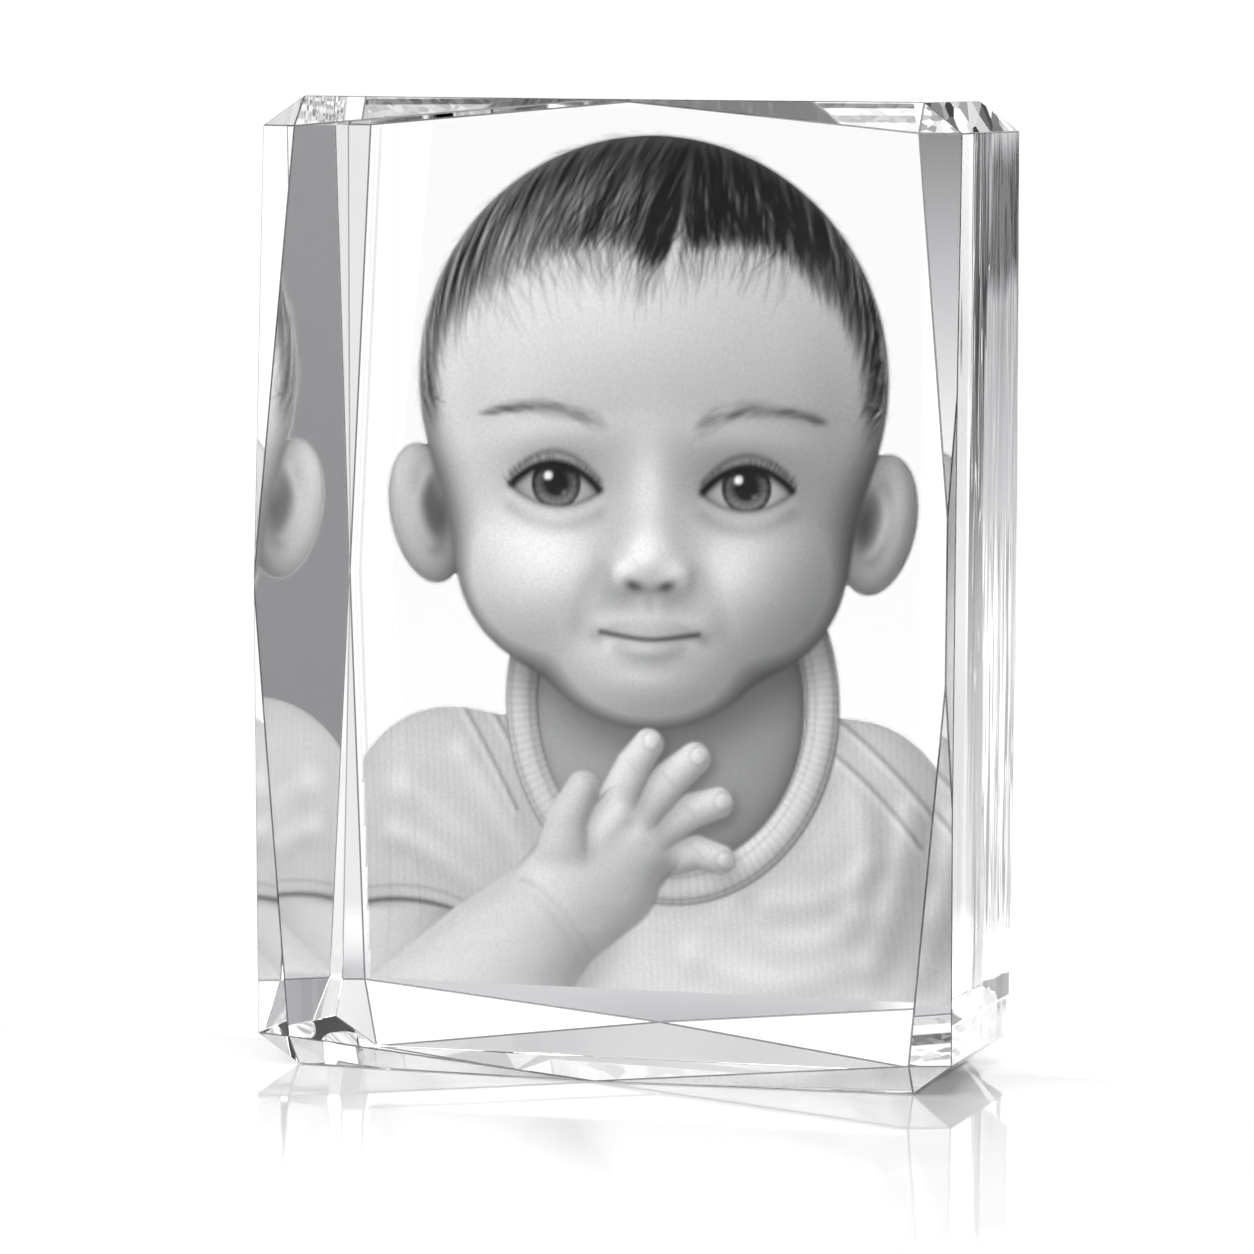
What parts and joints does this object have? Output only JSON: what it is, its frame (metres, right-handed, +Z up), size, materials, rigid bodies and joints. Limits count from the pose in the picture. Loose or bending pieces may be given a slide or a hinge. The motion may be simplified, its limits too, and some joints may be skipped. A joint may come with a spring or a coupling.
{
  "type": "optical crystal block",
  "caption": "Clear optical crystal block with long ground facets, showing a photograph on film fixed to its back.",
  "frame": {"origin": "middle of the flat base, halfway through the crystal's thickness", "axes": "+Z up; -Y is the front that the picture is seen through; +X to the right as seen from the front"},
  "size_m": [0.0899, 0.0432, 0.12],
  "materials": {
    "polished_crystal": "polished optical crystal",
    "clear_adhesive": "clear, glossy",
    "printed_film": "clear film with a satin monochrome print of a figure",
    "white_film": "opaque matt white",
    "clear_cover": "clear, glossy"
  },
  "bodies": {
    "root": {"crystal_block": "polished_crystal", "clear_adhesive_film": "clear_adhesive", "photo_film": "printed_film", "white_backing_film": "white_film", "back_cover_film": "clear_cover"}
  },
  "joints": []
}
